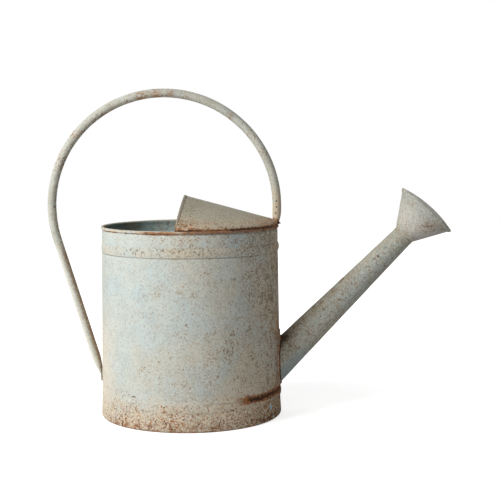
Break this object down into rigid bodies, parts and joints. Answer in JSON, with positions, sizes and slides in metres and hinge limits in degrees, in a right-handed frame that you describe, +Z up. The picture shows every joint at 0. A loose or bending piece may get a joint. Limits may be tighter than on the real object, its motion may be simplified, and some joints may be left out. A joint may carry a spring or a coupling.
{
  "type": "watering can",
  "caption": "Round sheet-metal watering can with a half hood over its mouth, a hoop handle, and a slanted tapered spout ending in a perforated rose.",
  "frame": {"origin": "on the floor at the middle of the whole outline; the body's own axis is 67.3 mm towards the handle", "axes": "+X towards the spout, +Z up, +Y to the left when looking along the spout"},
  "size_m": [0.4556, 0.2058, 0.3681],
  "materials": {
    "body_paint": "pale blue-grey paint on zinc, matte, speckled with rust",
    "hood_paint": "olive-grey patina, matte",
    "handle_paint": "grey-green paint, worn, rusty patches",
    "spout_paint": "green-grey paint, worn, rust speckles",
    "rose_paint": "beige-grey paint, worn",
    "bare_wire": "rusted bare wire"
  },
  "bodies": {
    "root": {"body_wall": "body_paint", "rim_wire": "bare_wire", "bottom_disc": "body_paint", "hood": "hood_paint", "handle_tube": "handle_paint", "spout_tube": "spout_paint", "spout_collar": "spout_paint", "rose_cone": "rose_paint", "rose_face": "rose_paint"}
  },
  "joints": []
}
